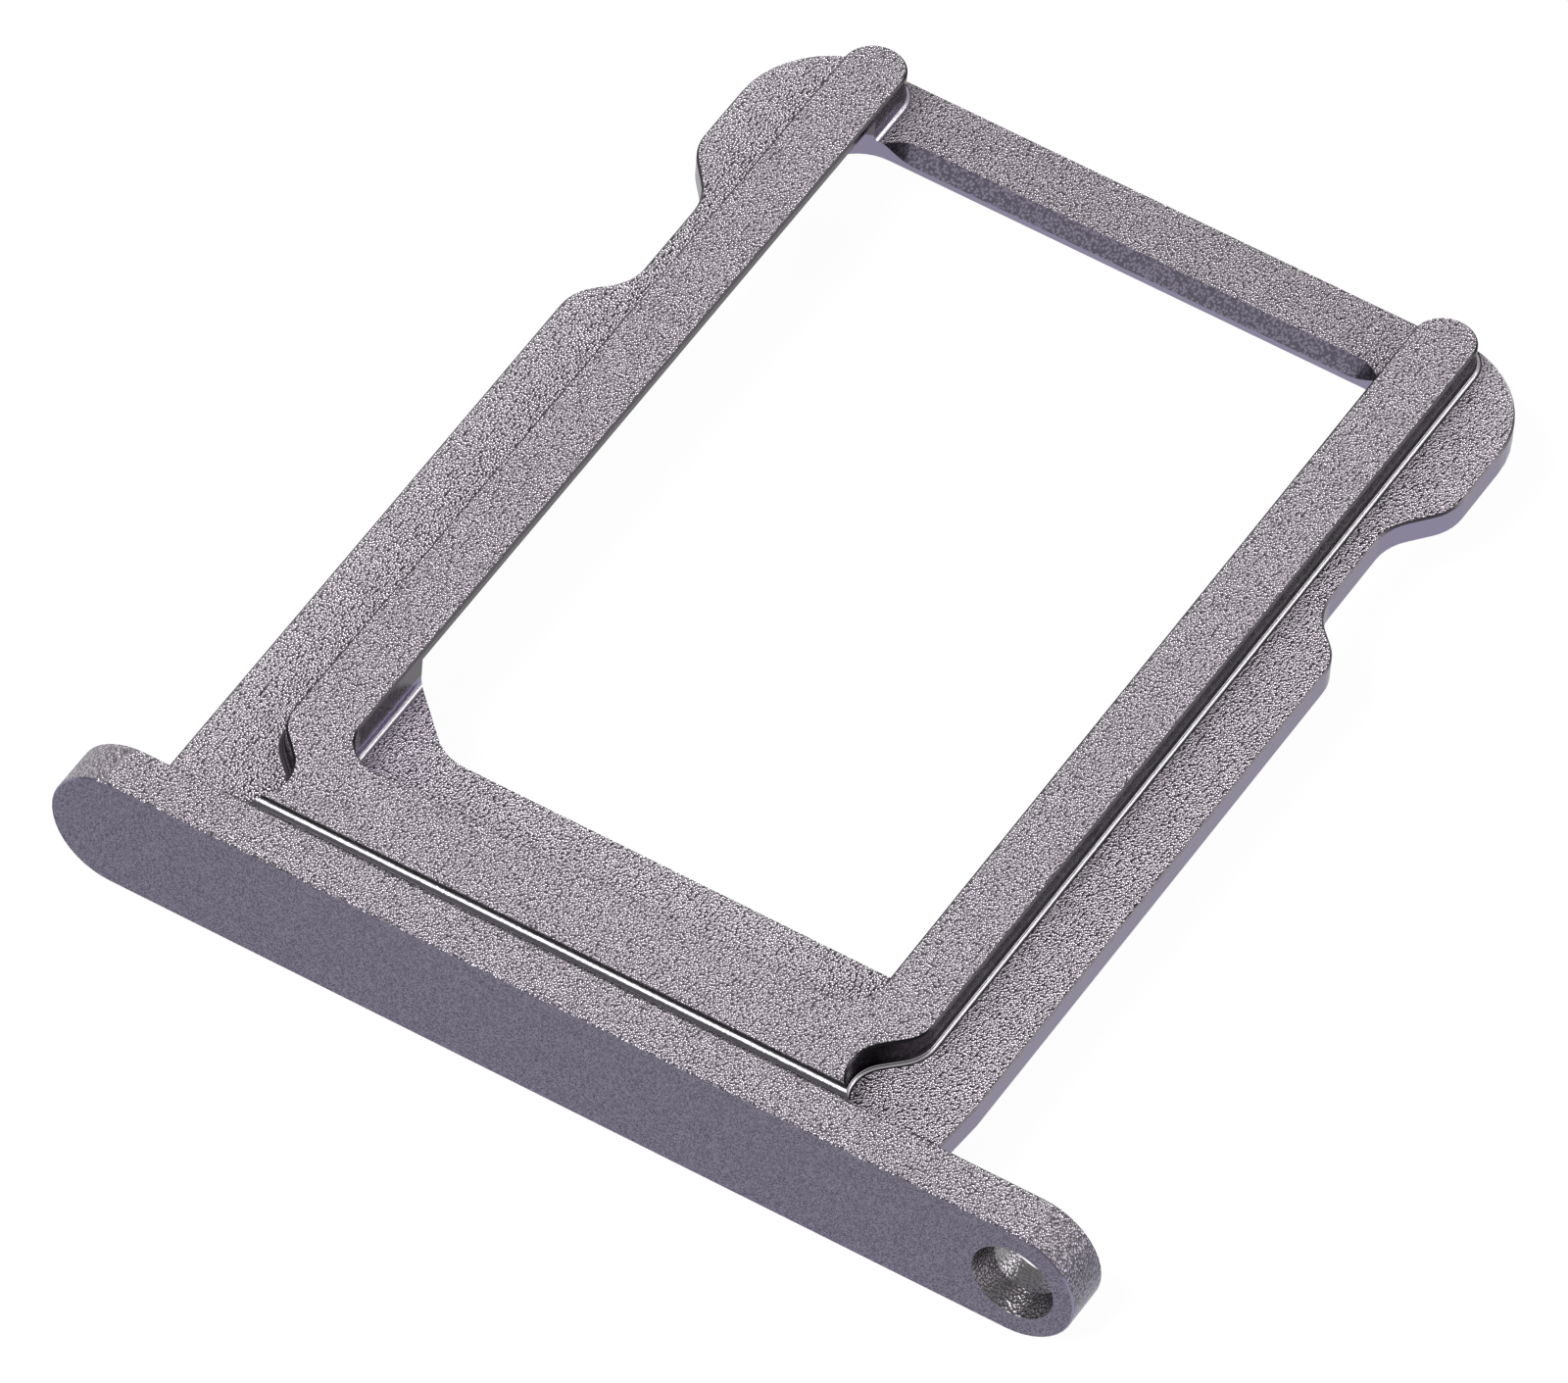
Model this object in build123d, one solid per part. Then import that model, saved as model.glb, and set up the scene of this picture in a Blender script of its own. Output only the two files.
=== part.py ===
from build123d import *
import math
import os

# A tray for one small phone card, milled from one piece of aluminium and bead blasted.
# It is drawn with X across the tray from its middle, Y from the front face of the bezel
# towards the far end, and Z up from the top of the rails. All sizes are in millimetres.

# The card, and the play that it has in the pocket
card_length = 12.3
card_width = 8.8
card_thickness = 0.67
card_play = 0.05
card_headroom = 0.015

# The pocket and the lips that the card rests against
corner_cut = 1.44
pocket_radius = 0.75
lip_thickness = 0.14
lip_reach = 0.52
rail_wall = 0.37

# The plate: how far its wings and its waist stand out from the rails, and its last two lengths
plate_thickness = 0.405
wing_width = 1.0
waist_width = 0.415
waist_length = 2.386
tail_length = 3.419
near_ramp_angle = 45.0
far_ramp_angle = 39.5
near_ramp_radius = 0.7
far_ramp_radius = 0.77
tail_radius = 1.48

# The right side of the plate draws in a little towards the bezel
lead_in_length = 1.15
lead_in_depth = 0.09

# The front of the tray, from the bezel towards the pocket
bezel_depth = 0.73
groove_width = 0.22
front_bar_width = 1.15
ledge_width = 1.15
ledge_thickness = 0.22
ledge_radius = 0.55

# The neck behind the bezel, cut in from both sides by one round cutter
neck_inset = 0.57
neck_radius = 0.59
neck_straight = 0.03
neck_ramp_angle = 45.0

# The far end
crossbar_width = 1.165
crossbar_thickness = 0.295
bevel_width = 0.22
bevel_height = 0.18
bevel_cutter_radius = 0.6

# The bezel, how far it reaches past the wings on each side, and the hole for the release pin
bezel_height = 1.87
left_overhang = 1.13
right_overhang = 2.55
pin_hole_radius = 0.48
pin_hole_mouth_radius = 0.6
pin_hole_mouth_depth = 0.36
pin_hole_inset = 0.9

# Fillets at the foot of the raised parts, broken outer edges, and the room behind the rail ends
foot_fillet = 0.1
edge_break = 0.03
rim_break = 0.02
tail_land = 0.062

# Room that the blank has past the outline of the plate before it is cut to that outline
spare = 2.0

# Levels, downwards from the top of the rails
rail_top = 0.0
lip_underside = rail_top - lip_thickness
underside = lip_underside - card_thickness - card_headroom
wing_top = underside + plate_thickness
ledge_top = underside + ledge_thickness
crossbar_top = underside + crossbar_thickness
bezel_axis = rail_top - bezel_height / 2

# Stations along the tray, from the front face of the bezel
front_bar_start = bezel_depth + groove_width
front_bar_end = front_bar_start + front_bar_width
pocket_start = front_bar_end + ledge_width
pocket_end = pocket_start + card_length + 2 * card_play
pocket_middle = (pocket_start + pocket_end) / 2
tray_length = pocket_end + crossbar_width
waist_end = tray_length - tail_length
wing_end = waist_end - waist_length
rail_end = tray_length - tail_land

# Half widths
pocket_half = card_width / 2 + card_play
lip_half = pocket_half - lip_reach
rail_half = pocket_half + rail_wall
rail_middle = (rail_half + lip_half) / 2
neck_half = rail_half - neck_inset
waist_half = rail_half + waist_width
body_half = rail_half + wing_width

# The bezel across the tray
bezel_left = -body_half - left_overhang
bezel_right = body_half + right_overhang
bezel_middle = (bezel_left + bezel_right) / 2
pin_hole_across = bezel_right - pin_hole_inset


def nearest(shapes, points):
    """For each point, the vertex or edge whose middle lies nearest to it."""
    return [min(shapes, key=lambda shape: (shape.center() - Vector(*point)).length) for point in points]


def rounded(sketch, corners, radius):
    """The sketch with a fillet at each of the corners."""
    return fillet(nearest(sketch.vertices(), corners), radius)


def both_sides(points):
    """The points, and their mirror images across the middle of the tray."""
    return points + [(-point[0], *point[1:]) for point in points]


def ramp_run(drop, angle):
    """Length along the tray of a ramp that draws a side in by the drop."""
    return drop / math.tan(math.radians(angle))


def plate_outline():
    """Wings, waist and round tail of the plate, with the lead-in on its right side."""
    waist_depth = wing_width - waist_width
    wing_corner = (body_half, wing_end)
    waist_near = (waist_half, wing_end + ramp_run(waist_depth, near_ramp_angle))
    waist_far = (waist_half, waist_end)
    tail_near = (body_half, waist_end + ramp_run(waist_depth, far_ramp_angle))
    tail_far = (body_half, tray_length)
    side = [wing_corner, waist_near, waist_far, tail_near, tail_far]
    left_side = [(-x, y) for x, y in reversed(side)]
    inside_bezel = bezel_depth / 2
    foot_half = body_half - lead_in_depth
    lead_in_end = (body_half, bezel_depth + lead_in_length)
    right_foot = [(foot_half, inside_bezel), (foot_half, bezel_depth), lead_in_end]
    sketch = make_face(Polyline(*right_foot, *side, *left_side, (-body_half, inside_bezel), close=True))
    sketch = rounded(sketch, both_sides([wing_corner, waist_near]), near_ramp_radius)
    sketch = rounded(sketch, both_sides([waist_far, tail_near]), far_ramp_radius)
    return rounded(sketch, both_sides([tail_far]), tail_radius)


def raised_outline():
    """Two rails with round ends, the bar across their front, and the neck to the bezel."""
    end_radius = (rail_half - lip_half) / 2
    straight_end = rail_end - end_radius
    ramp_tangent = neck_radius * math.tan(math.radians(neck_ramp_angle / 2))
    neck_end = bezel_depth + neck_radius + neck_straight + ramp_tangent
    inside_bezel = bezel_depth / 2
    neck_foot = (neck_half, bezel_depth)
    neck_top = (neck_half, neck_end)
    shoulder = (rail_half, neck_end + ramp_run(neck_inset, neck_ramp_angle))
    ledge_corner = (lip_half, front_bar_end)
    outer_end = (rail_half, straight_end)
    inner_end = (lip_half, straight_end)
    flank = body_half + spare
    half = Polyline((0, inside_bezel), (flank, inside_bezel), (flank, bezel_depth), neck_foot, neck_top,
                    shoulder, outer_end)
    half += ThreePointArc(outer_end, (rail_middle, rail_end), inner_end)
    half += Polyline(inner_end, ledge_corner, (0, front_bar_end))
    sketch = make_face(half + mirror(half, about=Plane.YZ))
    sketch = rounded(sketch, both_sides([neck_foot, neck_top, shoulder]), neck_radius)
    return rounded(sketch, both_sides([ledge_corner]), ledge_radius)


def pocket_outline():
    """The card's outline with its play, round corners and the one cut corner."""
    cut_side = (-pocket_half, pocket_start + corner_cut)
    cut_front = (-pocket_half + corner_cut, pocket_start)
    far_corners = [(pocket_half, pocket_end), (-pocket_half, pocket_end)]
    corners = [(pocket_half, pocket_start), *far_corners, cut_side, cut_front]
    return rounded(make_face(Polyline(*corners, close=True)), corners, pocket_radius)


def between(outline, low, high):
    """The outline as a solid between two levels."""
    return extrude(Pos(0, 0, low) * outline, high - low)


def span(half_width, start, end, low, high):
    """A block centred on the tray between two stations and two levels."""
    low_front = (Align.CENTER, Align.MIN, Align.MIN)
    return Pos(0, start, low) * Box(2 * half_width, end - start, high - low, align=low_front)


def upright(across):
    """The front face of the bezel as a plane, centred at a place across the tray."""
    return Plane(origin=(across, 0, bezel_axis), x_dir=(1, 0, 0), z_dir=(0, -1, 0))


def bezel():
    """Front plate with full-round ends, its top flush with the rails."""
    outline = SlotOverall(bezel_right - bezel_left, bezel_height)
    return extrude(upright(bezel_middle) * outline, -bezel_depth)


def pin_hole():
    """The two cuts of the hole for the release pin, which is wider at its mouth."""
    mouth = upright(pin_hole_across)
    inwards = (Align.CENTER, Align.CENTER, Align.MAX)
    funnel = Cone(pin_hole_radius, pin_hole_mouth_radius, pin_hole_mouth_depth, align=inwards)
    return [mouth * funnel, mouth * Cylinder(pin_hole_radius, bezel_depth, align=inwards)]


def groove():
    """The round-bottomed groove across the neck, along the back of the bezel."""
    radius = groove_width / 2
    start = Plane(origin=(-body_half, bezel_depth + radius, rail_top), z_dir=(1, 0, 0))
    return extrude(start * Circle(radius), 2 * body_half)


def crossbar_bevel():
    """The sloping cut that a round cutter leaves along the pocket side of the crossbar."""
    run = 2 * (lip_half - bevel_cutter_radius)
    station = pocket_end + bevel_width - bevel_cutter_radius
    foot_radius = bevel_cutter_radius - bevel_width
    top = Pos(0, station, crossbar_top) * SlotCenterToCenter(run, 2 * bevel_cutter_radius)
    foot = Pos(0, station, crossbar_top - bevel_height) * SlotCenterToCenter(run, 2 * foot_radius)
    return loft([top, foot], ruled=True)


def inside_outline(level):
    """The room inside the plate's outline, drawn in by the width of the broken edge above a level."""
    room = between(plate_outline(), underside, level)
    room = chamfer(room.faces().sort_by(Axis.Z)[-1].edges(), edge_break)
    return room + extrude(room.faces().sort_by(Axis.Z)[-1], rail_top - level)


def raised_blank():
    """An oversize slab with the ledge, the crossbar and the raised parts, filleted at their foot."""
    ledge_end = pocket_middle - spare
    crossbar_start = pocket_middle + spare
    far_end = tray_length + spare
    blank = span(body_half + spare, bezel_depth / 2, far_end, underside, wing_top)
    blank -= span(lip_half, front_bar_end, ledge_end, ledge_top, wing_top)
    blank -= span(rail_middle, crossbar_start, far_end, crossbar_top, wing_top)
    blank += between(raised_outline(), underside, rail_top)
    bar_middle = (crossbar_start + rail_end) / 2
    blank = filleted(blank, [(0, front_bar_end, ledge_top)], foot_fillet)
    blank = filleted(blank, both_sides([(lip_half, bar_middle, crossbar_top)]), foot_fillet)
    return filleted(blank, both_sides([(rail_half, pocket_middle, wing_top)]), foot_fillet)


def milled_blank():
    """The tray with every cut made."""
    crossbar_room = span(rail_middle, pocket_middle, tray_length + spare, underside, rail_top)
    room = inside_outline(wing_top) - crossbar_room
    room += inside_outline(crossbar_top) & crossbar_room
    blank = raised_blank() & room
    blank -= between(pocket_outline(), underside, lip_underside)
    blank -= crossbar_bevel()
    blank += bezel()
    for cut in [groove(), *pin_hole()]:
        blank -= cut
    return blank


def filleted(part, points, radius):
    """The part with a fillet on the edges at the points and on all that run on smoothly from them."""
    return fillet(nearest(part.edges(), points), radius)


def broken(part, points, width):
    """The part with a narrow flat along the edges at the points and all that run on smoothly."""
    return chamfer(nearest(part.edges(), points), width)


def sim_tray():
    """The milled tray with its inner corners filleted and its outer edges broken."""
    tray = milled_blank()
    side_middle = (bezel_depth + wing_end) / 2
    lead_in_across = body_half - lead_in_depth / 2
    lead_in_middle = bezel_depth + lead_in_length / 2

    tray = broken(tray, [(rail_half, pocket_middle, rail_top)], edge_break)
    sides = both_sides([(body_half, side_middle, underside)])
    tray = broken(tray, sides + [(lead_in_across, lead_in_middle, underside)], rim_break)
    tray = broken(tray, [(0, pocket_end, underside)], rim_break)

    tray = broken(tray, [(bezel_middle, 0, rail_top - bezel_height)], rim_break)
    tray = broken(tray, [(bezel_middle, bezel_depth, rail_top - bezel_height)], edge_break)
    return tray


# The part stands with the lowest point of the bezel at zero, centred across and along.
tray = Pos(-bezel_middle, -tray_length / 2, bezel_height - rail_top) * sim_tray()

os.makedirs("parts", exist_ok=True)
export_step(tray, "parts/sim_tray.step")
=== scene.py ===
import math

import bpy
from mathutils import Matrix, Vector


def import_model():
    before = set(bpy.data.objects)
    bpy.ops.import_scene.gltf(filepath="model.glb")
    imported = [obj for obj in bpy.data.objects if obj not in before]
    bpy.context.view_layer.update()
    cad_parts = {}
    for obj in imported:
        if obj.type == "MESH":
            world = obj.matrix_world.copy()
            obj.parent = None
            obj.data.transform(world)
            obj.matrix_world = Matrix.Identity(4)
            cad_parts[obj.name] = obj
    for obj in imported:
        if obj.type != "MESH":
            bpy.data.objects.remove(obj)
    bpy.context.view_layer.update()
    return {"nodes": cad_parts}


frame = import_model()

MM = 0.001


# ---------------------------------------------------------------- shader helpers

# The Mix node's sockets for each kind of data: its two inputs and its output
MIX_SOCKETS = {"FLOAT": (2, 3, 0), "VECTOR": (4, 5, 1), "RGBA": (6, 7, 2)}


class Net:
    """A material's or the world's node tree, with short calls for the nodes used here."""

    def __init__(self, owner):
        owner.use_nodes = True
        self.tree = owner.node_tree
        self.tree.nodes.clear()

    def add(self, kind, inputs=None, **settings):
        """A new node with these settings, each input a value or another node's output."""
        node = self.tree.nodes.new(kind)
        for key, value in settings.items():
            setattr(node, key, value)
        for key, value in (inputs or {}).items():
            if isinstance(value, bpy.types.NodeSocket):
                self.tree.links.new(value, node.inputs[key])
            else:
                node.inputs[key].default_value = value
        return node

    def math(self, operation, a, b):
        return self.add("ShaderNodeMath", {0: a, 1: b}, operation=operation).outputs[0]

    def size(self, value):
        """The value without its sign."""
        return self.add("ShaderNodeMath", {0: value}, operation="ABSOLUTE").outputs[0]

    def product(self, first, *others):
        """The values multiplied, which for masks is where all of them are."""
        for other in others:
            first = self.math("MULTIPLY", first, other)
        return first

    def inverse(self, mask):
        return self.math("SUBTRACT", 1.0, mask)

    def darker(self, mask, share):
        """One, and less by this share where the mask is."""
        return self.inverse(self.math("MULTIPLY", mask, share))

    def step(self, value, low, high, to_low=0.0, to_high=1.0):
        """A smooth change of value between low and high."""
        inputs = {"Value": value, "From Min": low, "From Max": high, "To Min": to_low, "To Max": to_high}
        return self.add("ShaderNodeMapRange", inputs, interpolation_type="SMOOTHSTEP").outputs["Result"]

    def fall(self, value, low, high):
        """One below low, and nothing above high."""
        return self.step(value, low, high, 1.0, 0.0)

    def band(self, value, low, high, edge=0.02):
        """One where the value is between low and high."""
        return self.math("MULTIPLY", self.step(value, low - edge, low), self.fall(value, high, high + edge))

    def vector(self, operation, a, b):
        return self.add("ShaderNodeVectorMath", {0: a, 1: b}, operation=operation).outputs[0]

    def scale(self, colour, factor):
        inputs = {0: colour, "Scale": factor}
        return self.add("ShaderNodeVectorMath", inputs, operation="SCALE").outputs[0]

    def mix(self, factor, a, b, kind="RGBA"):
        """From a to b as the factor goes from none to one."""
        first, second, result = MIX_SOCKETS[kind]
        return self.add("ShaderNodeMix", {0: factor, first: a, second: b}, data_type=kind).outputs[result]

    def noise(self, place, scale, detail, output="Fac"):
        inputs = {"Vector": place, "Scale": scale, "Detail": detail}
        return self.add("ShaderNodeTexNoise", inputs).outputs[output]

    def bowls(self, place, scale, **settings):
        """Distance from the middle of the nearest of many small cells."""
        inputs = {"Vector": place, "Scale": scale}
        return self.add("ShaderNodeTexVoronoi", inputs, feature="F1", **settings).outputs["Distance"]


# ---------------------------------------------------------------- the blasted metal

# Texture of the blasted faces: sizes per metre, depths as shares of the dents' own, which is in metres
DENTS, LEVEL_DENTS, GRAIN, CLOUDS, BENDS = 25000.0, 25000.0 * 1.15, 60000.0, 5200.0, 9000.0
DENT_DEPTH, GRAIN_DEPTH, CLOUD_DEPTH = 2.9e-5, 0.1, 0.1
BEND_REACH = 1.5e-5
DENT_RANGE, GRAIN_RANGE, CLOUD_RANGE = (0.03, 0.4), (0.35, 0.65), (0.3, 0.7)
SMOOTH_STRENGTH, HOLE_LOSS = 0.06, 0.7

# Where one finish, or one patch of painted light or shade, gives way to the next: the two ends of each change, in
# metres along the axis named
BEZEL_BACK_Y = (-7.70 * MM, -7.67 * MM)
FRONT_FACE_Y = (-8.40 * MM, -8.38 * MM)
FRONT_EDGE_Y = (-8.3 * MM, -8.2 * MM)
RAISED_Z = (1.44 * MM, 1.452 * MM)
GROOVE_Y, GROOVE_Z = (-7.68 * MM, -7.46 * MM), (1.74 * MM, 1.862 * MM)
HOLE_MIDDLE, HOLE_REACH = (6.76 * MM, 0, 0.935 * MM), (0.61 * MM, 0.64 * MM)
BEVEL_Y, BEVEL_Z = (6.5 * MM, 6.6 * MM), (1.155 * MM, 1.345 * MM)
FOOT_Z = (1.55 * MM, 1.6 * MM)
CROSSBAR_Y, CROSSBAR_Z = (7.2 * MM, 7.25 * MM), (1.30 * MM, 1.38 * MM)
RIM_Y, RIM_Z = (-7.705 * MM, -7.66 * MM), (1.84 * MM, 1.86 * MM)
TONE_Z = (1.5 * MM, 1.8 * MM)
BEHIND_BEZEL_Y = (-6.75 * MM, -6.25 * MM)
LEFT_X = (-3.0 * MM, -2.0 * MM)
SHARP, CLEAR, SOFT = 0.005 * MM, 0.01 * MM, 0.02 * MM

# The same by the direction of a face: sizes of its normal along an axis
LEVEL, FLAT, UPWARD = (0.9990, 0.9999), (0.965, 0.995), (0.45, 1.0)
FACES_BACK, FACES_FRONT, FACES_HOLE = (0.35, 0.5), (0.9, 0.98), (0.5, 0.6)
BEVEL_SLOPE, EDGE_SLOPE, FOOT_SLOPE = (0.3, 0.9), (0.69, 0.72), (0.58, 0.88)
FOOT_SLOPE_EDGE, FACES_RIGHT, TURNED_SIDEWAYS = 0.05, (0.2, 0.35), (0.05, 0.3)

# Colours: in pairs, the ridges' between the dents and the dents' own; the dents' bright middles are painted
# highlight, standing in for the lamps' sparkle on the blasted grain
TOPS_GRAIN_AND_SPARKLE = ((0.32, 0.289, 0.324, 1), (0.9, 0.814, 0.909, 1))
# Blasted faces turned away from up, such as the bezel's round ends, are painted darker: painted shade by which
# way they face
ENDS_SHADE = ((0.115, 0.107, 0.14, 1), (0.25, 0.235, 0.29, 1))
# The crossbar's bevel is painted dark: painted shade
BEVEL_SHADE = ((0.045, 0.041, 0.054, 1), (0.10, 0.09, 0.12, 1))
# The bezel's front face is painted dark, painted shade for the dim floor it reflects, over its finer grain
FRONT_SHADE = ((0.09, 0.083, 0.12, 1), (0.225, 0.205, 0.265, 1))
HOLE = ((0.24, 0.23, 0.245, 1), (0.36, 0.34, 0.36, 1))
# Smooth walls are painted darker than the tops by how little pale floor they would reflect: painted shade,
# lighter on the left
LOW_WALLS_SHADE = (0.25, 0.226, 0.32, 1)
HIGH_WALLS_FRONT_SHADE, HIGH_WALLS_SHADE = (0.004, 0.0037, 0.0042, 1), (0.06, 0.056, 0.062, 1)
HIGH_WALLS_LEFT_SHADE = (0.12, 0.112, 0.125, 1)
# A bright line painted on the base fillets that face right: painted highlight
FOOT_HIGHLIGHT = (0.7, 0.67, 0.71, 1)
# The broken edges are painted dark: painted shade
LOW_EDGES_SHADE, HIGH_EDGES_SHADE = (0.12, 0.112, 0.124, 1), (0.03, 0.028, 0.031, 1)
# The groove is painted darker than the tops: painted shade in the recess
GROOVE_SHADE = (0.20, 0.19, 0.207, 1)

# Shares of the tops' tone: random clouds; the lower tops painted lighter and the higher ones darker, painted
# light and shade by height; the crossbar and the bezel's back rim painted darker, painted shade
LOW_TOPS_LIGHT, HIGH_TOPS_SHADE = 1.05, 0.89
TONE_CLOUDS = (0.95, 1.05)
# Shares by which the crossbar's tops and the bezel's back rim are painted darker: painted shade
CROSSBAR_SHADE_SHARE, RIM_SHADE_SHARE = 0.25, 0.65
# Share of the bevel's colour kept where it turns sideways: painted shade
TURNED_SHADE_SHARE = 0.4

METALLIC = 1.0
SMOOTH_ROUGHNESS, ROUGHNESS, BEVEL_ROUGHNESS, FOOT_ROUGHNESS = 0.2, 0.25, 0.35, 0.1
SMOOTH_TINT, BLASTED_TINT = 0.7, 1.0


def blasted_metal():
    """Bead blasted flats, smooth milled walls and edges, and the finer grain of the bezel's face, with painted
    shade on the walls, edges, bevel, groove and bezel's face, painted light and shade on the tops by height, and
    painted highlight in the dents and base fillets.
    """
    material = bpy.data.materials.new("blasted_aluminium")
    net = Net(material)
    place = net.add("ShaderNodeTexCoord").outputs["Object"]
    facing = net.add("ShaderNodeNewGeometry").outputs
    normal = net.add("ShaderNodeSeparateXYZ", {0: facing["True Normal"]}).outputs
    point = net.add("ShaderNodeSeparateXYZ", {0: place}).outputs
    level = net.size(normal["Z"])
    along = net.size(normal["Y"])

    # Level faces keep their own normal, and curved ones the smooth normal
    plane = net.mix(net.step(level, *LEVEL), facing["Normal"], facing["True Normal"], "VECTOR")
    smooth = net.add("ShaderNodeSeparateXYZ", {0: plane}).outputs
    rounded = net.size(smooth["Z"])

    # Where each finish, and each patch of painted light and shade, is
    flat = net.step(rounded, *FLAT)
    upward = net.step(level, *UPWARD)
    in_bezel = net.fall(point["Y"], *BEZEL_BACK_Y)
    skin = net.product(in_bezel, net.fall(along, *FACES_BACK))
    face = net.product(net.fall(point["Y"], *FRONT_FACE_Y), net.step(along, *FACES_FRONT))
    raised = net.product(net.step(point["Z"], *RAISED_Z), net.inverse(in_bezel))
    groove = net.product(net.band(point["Y"], *GROOVE_Y, SHARP), net.band(point["Z"], *GROOVE_Z, SHARP))
    from_hole = net.vector("SUBTRACT", net.vector("MULTIPLY", place, (1, 0, 1)), HOLE_MIDDLE)
    hole = net.add("ShaderNodeVectorMath", {0: from_hole}, operation="LENGTH").outputs["Value"]
    hole = net.product(net.fall(hole, *HOLE_REACH), net.fall(along, *FACES_HOLE))
    bevel = net.product(net.band(level, *BEVEL_SLOPE), net.step(point["Y"], *BEVEL_Y),
                        net.band(point["Z"], *BEVEL_Z, SHARP))
    edge = net.band(level, *EDGE_SLOPE)
    front_edge = net.product(edge, net.fall(point["Y"], *FRONT_EDGE_Y))
    edge = net.math("SUBTRACT", edge, front_edge)
    foot_highlight = net.product(net.band(rounded, *FOOT_SLOPE, FOOT_SLOPE_EDGE), net.step(smooth["X"], *FACES_RIGHT),
                       net.fall(point["Z"], *FOOT_Z), net.inverse(net.math("MAXIMUM", bevel, in_bezel)))
    blasted = net.product(net.math("MAXIMUM", flat, skin), net.inverse(groove))
    blasted = net.math("MAXIMUM", blasted, front_edge)
    # The crossbar's tops are painted darker: painted shade
    crossbar_shade = net.product(net.step(point["Y"], *CROSSBAR_Y), net.band(point["Z"], *CROSSBAR_Z, SOFT))
    # A thin dark line painted along the bezel's back top edge: painted shade
    rim_shade = net.product(net.band(point["Y"], *RIM_Y, CLEAR), net.step(point["Z"], *RIM_Z))

    # The dents of the beads are small bowls, with a finer grain and broad clouds over them
    bent = net.vector("SUBTRACT", net.noise(place, BENDS, 1.0, "Color"), (0.5, 0.5, 0.5))
    bent = net.vector("ADD", place, net.scale(bent, BEND_REACH))
    bowls = net.mix(flat, net.bowls(bent, DENTS), net.bowls(bent, LEVEL_DENTS, voronoi_dimensions="2D"), "FLOAT")
    bowls = net.math("POWER", bowls, 2.0)
    grain = net.noise(place, GRAIN, 1.0)
    clouds = net.noise(place, CLOUDS, 2.0)
    height = net.math("ADD", bowls, net.math("MULTIPLY", grain, GRAIN_DEPTH))
    height = net.math("ADD", height, net.math("MULTIPLY", clouds, CLOUD_DEPTH))
    strength = net.math("SUBTRACT", net.math("MAXIMUM", blasted, SMOOTH_STRENGTH),
                        net.math("MULTIPLY", hole, HOLE_LOSS))
    dented = net.add("ShaderNodeBump", {"Strength": strength, "Distance": DENT_DEPTH, "Height": height,
                                        "Normal": plane}).outputs[0]

    # Colour of the blasted faces: the grain of the dents, each dent's middle painted bright as a highlight of the
    # lamps, and the ridges between them dark
    dent_sparkle = net.fall(bowls, *DENT_RANGE)
    # Tone: random clouds, times painted light and shade by height, times painted shade on the crossbar and the
    # bezel's back rim
    tone_light_and_shade = net.product(net.step(clouds, *CLOUD_RANGE, *TONE_CLOUDS),
                       net.step(point["Z"], *TONE_Z, LOW_TOPS_LIGHT, HIGH_TOPS_SHADE),
                       net.darker(crossbar_shade, CROSSBAR_SHADE_SHARE), net.darker(rim_shade, RIM_SHADE_SHARE))
    # Blasted faces turned from up take the darker ends' colour: painted shade
    tops = net.scale(net.mix(upward, net.mix(dent_sparkle, *ENDS_SHADE), net.mix(dent_sparkle, *TOPS_GRAIN_AND_SPARKLE)), tone_light_and_shade)

    # Colour of the smooth walls, painted darker the less pale floor they would reflect: painted shade, near black
    # on the raised walls by the bezel and lighter on the left
    high = net.mix(net.step(point["Y"], *BEHIND_BEZEL_Y), HIGH_WALLS_FRONT_SHADE, HIGH_WALLS_SHADE)
    high = net.mix(net.fall(point["X"], *LEFT_X), high, HIGH_WALLS_LEFT_SHADE)
    walls = net.mix(raised, LOW_WALLS_SHADE, high)
    # The base fillets facing right are painted bright: painted highlight
    walls = net.mix(foot_highlight, walls, FOOT_HIGHLIGHT)
    # Broken edges are painted dark: painted shade
    walls = net.mix(edge, walls, net.mix(raised, LOW_EDGES_SHADE, HIGH_EDGES_SHADE))
    # The bevel is painted dark, and darker still where it turns sideways: painted shade
    turned_shade = net.step(net.size(normal["X"]), *TURNED_SIDEWAYS, 1.0, TURNED_SHADE_SHARE)
    walls = net.mix(bevel, walls, net.scale(net.mix(dent_sparkle, *BEVEL_SHADE), turned_shade))
    walls = net.mix(groove, walls, GROOVE_SHADE)

    # The bezel's front face: a finer grain, painted dark as shade
    front_shade = net.mix(net.step(grain, *GRAIN_RANGE), *FRONT_SHADE)
    colour = net.mix(face, net.mix(blasted, walls, tops), front_shade)
    colour = net.mix(hole, colour, net.mix(dent_sparkle, *HOLE))

    dull = net.math("MAXIMUM", blasted, edge)
    roughness = net.math("ADD", net.step(dull, 0.0, 1.0, SMOOTH_ROUGHNESS, ROUGHNESS),
                         net.math("MULTIPLY", bevel, BEVEL_ROUGHNESS))
    roughness = net.math("ADD", roughness, net.math("MULTIPLY", foot_highlight, FOOT_ROUGHNESS))
    tint = net.step(blasted, 0.0, 1.0, SMOOTH_TINT, BLASTED_TINT)
    tint = net.add("ShaderNodeCombineColor", {0: tint, 1: tint, 2: tint}).outputs[0]
    shader = net.add("ShaderNodeBsdfPrincipled", {
        "Base Color": colour, "Metallic": METALLIC, "Roughness": roughness, "Specular Tint": tint,
        "Normal": dented})
    net.add("ShaderNodeOutputMaterial", {"Surface": shader.outputs[0]})
    return material


tray = frame["nodes"]["sim_tray"]
tray.material_slots[0].material = blasted_metal()


# ---------------------------------------------------------------- floor, lamps and camera

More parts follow.
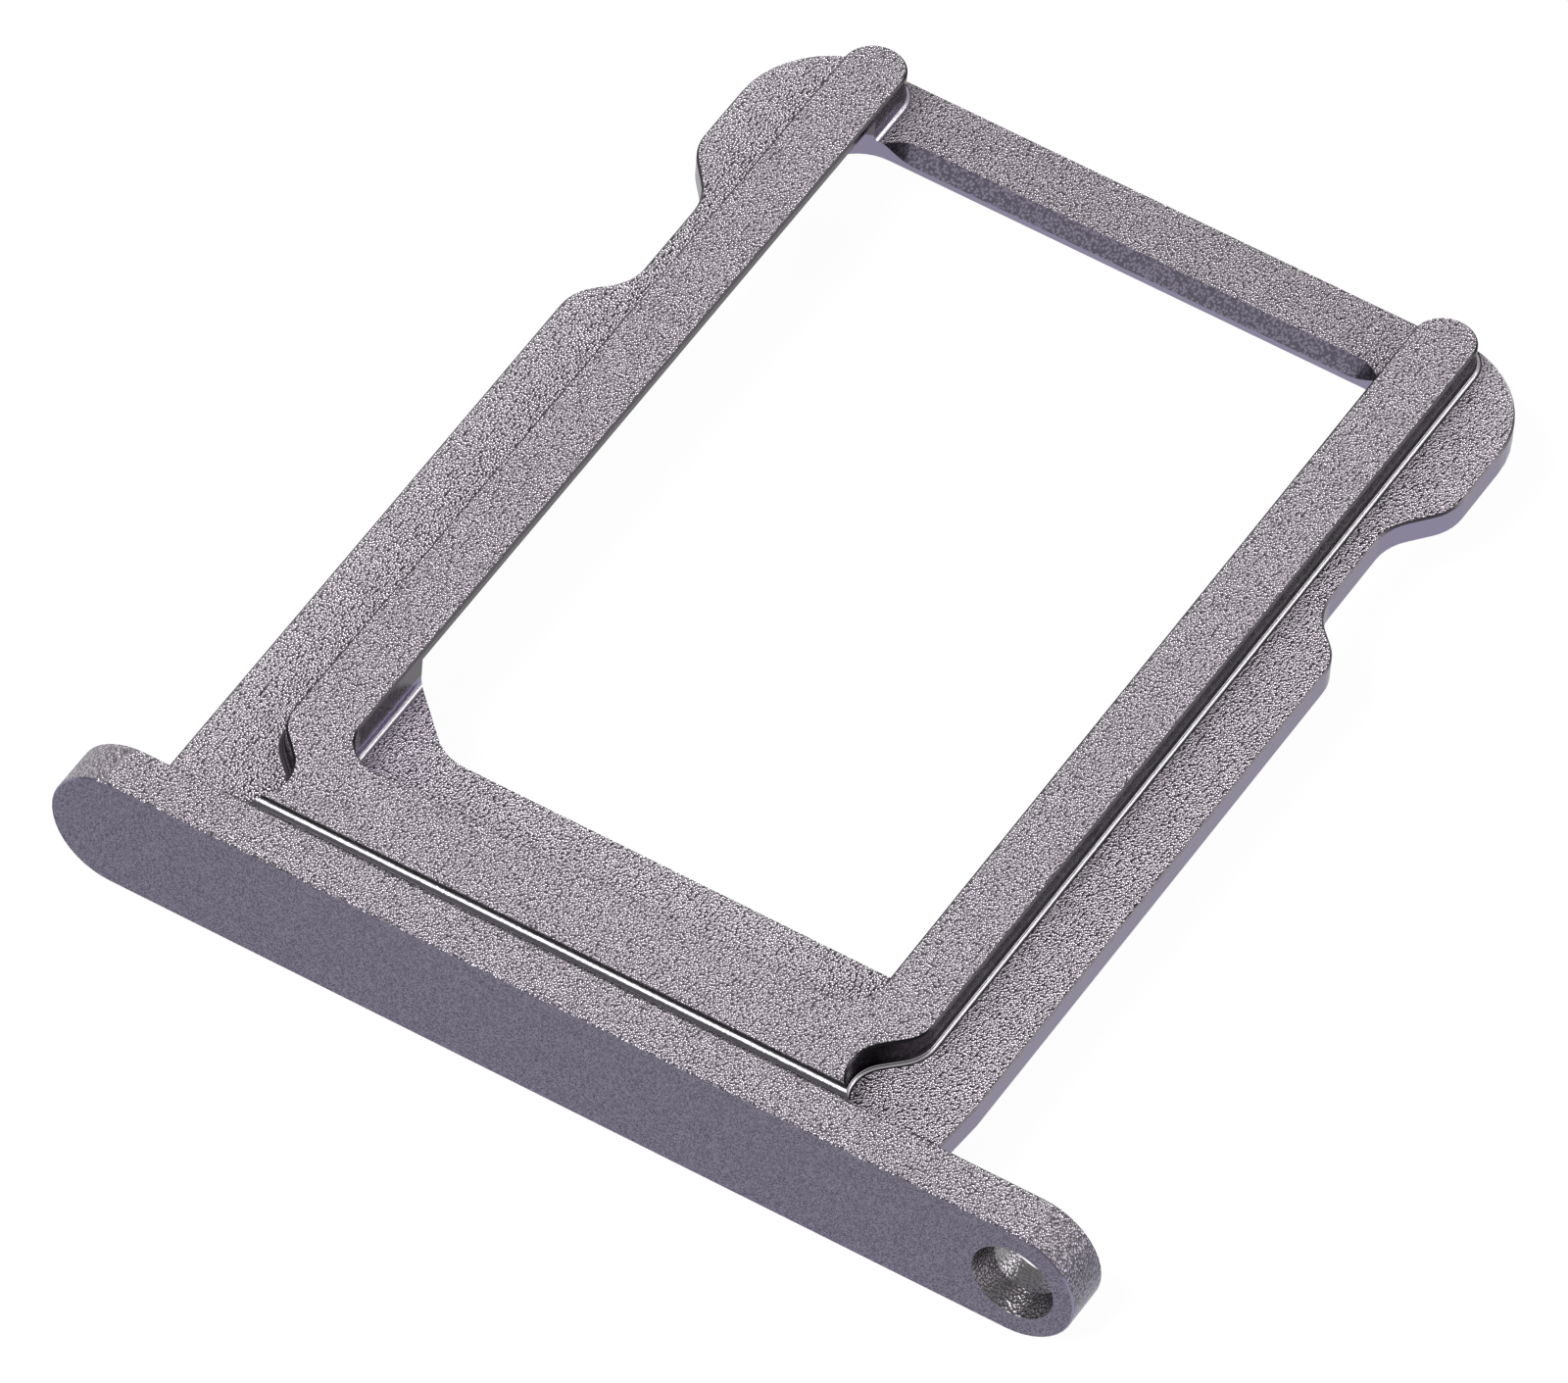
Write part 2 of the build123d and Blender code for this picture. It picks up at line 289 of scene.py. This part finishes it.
FLOOR_HALF, FLOOR_DROP = 0.6, 1e-5
FLOOR_COLOUR, FLOOR_SHADE, FLOOR_GLOW = 0.9, 0.12, 0.93

SKY = 0.4

SENSOR, LENS = 36.0, 473.02
NEAREST, FARTHEST = 0.01, 10.0
CAMERA_PLACE = (0.080447, -0.158685, 0.201492)
CAMERA_RIGHT = Vector((0.855627, 0.514478, 0.056711))
CAMERA_DOWN = Vector((0.419113, -0.624365, -0.659176))
CAMERA_AHEAD = Vector((-0.303723, 0.587776, -0.749848))


def in_scene(name, data):
    """A new object of the scene with this data."""
    thing = bpy.data.objects.new(name, data)
    bpy.context.scene.collection.objects.link(thing)
    return thing


def grey(level):
    return (level, level, level, 1)


def floor():
    """A pale diffuse floor, which the camera and gloss see as an even near-white with soft shadows."""
    mesh = bpy.data.meshes.new("floor")
    half = FLOOR_HALF
    mesh.from_pydata([(-half, -half, 0), (half, -half, 0), (half, half, 0), (-half, half, 0)], [], [(0, 1, 2, 3)])
    thing = in_scene("floor", mesh)
    thing.location.z = -FLOOR_DROP
    material = bpy.data.materials.new("floor")
    net = Net(material)
    plain = net.add("ShaderNodeBsdfDiffuse", {"Color": grey(FLOOR_COLOUR)})
    shaded = net.add("ShaderNodeBsdfDiffuse", {"Color": grey(FLOOR_SHADE)})
    white = net.add("ShaderNodeEmission", {"Color": grey(1), "Strength": FLOOR_GLOW})
    seen = net.add("ShaderNodeAddShader", {0: shaded.outputs[0], 1: white.outputs[0]})
    path = net.add("ShaderNodeLightPath").outputs
    direct = net.math("MAXIMUM", path["Is Camera Ray"], path["Is Glossy Ray"])
    direct = net.math("MAXIMUM", direct, path["Is Transmission Ray"])
    shader = net.add("ShaderNodeMixShader", {0: direct, 1: plain.outputs[0], 2: seen.outputs[0]})
    net.add("ShaderNodeOutputMaterial", {"Surface": shader.outputs[0]})
    mesh.materials.append(material)


def lamp(name, towards, distance, side, level):
    """A square soft box in the direction towards, whose face shows about this level."""
    data = bpy.data.lights.new(name, "AREA")
    data.shape = "RECTANGLE"
    data.size = data.size_y = side
    data.energy = level * math.pi * side * side
    thing = in_scene(name, data)
    back = Vector(towards).normalized()
    thing.location = back * distance
    thing.rotation_euler = back.to_track_quat("Z", "Y").to_euler()
    thing.visible_camera = False


def world():
    studio = bpy.data.worlds.new("studio")
    bpy.context.scene.world = studio
    net = Net(studio)
    sky = net.add("ShaderNodeBackground", {"Color": grey(SKY)})
    net.add("ShaderNodeOutputWorld", {"Surface": sky.outputs[0]})


def camera():
    """The place and turn of the photograph's camera, solved from the tray's edges."""
    data = bpy.data.cameras.new("camera")
    data.sensor_width = SENSOR
    data.lens = LENS
    data.clip_start, data.clip_end = NEAREST, FARTHEST
    thing = in_scene("camera", data)
    turn = Matrix((CAMERA_RIGHT, -CAMERA_DOWN, -CAMERA_AHEAD)).transposed().to_4x4()
    thing.matrix_world = Matrix.Translation(CAMERA_PLACE) @ turn
    bpy.context.scene.camera = thing


floor()
world()
lamp("front_left", towards=(-0.30, -0.59, 0.75), distance=0.5, side=0.28, level=9.0)
lamp("back_right", towards=(0.715, 0.59, 0.377), distance=0.5, side=0.18, level=4.4)
camera()
bpy.context.scene.view_settings.view_transform = "Standard"
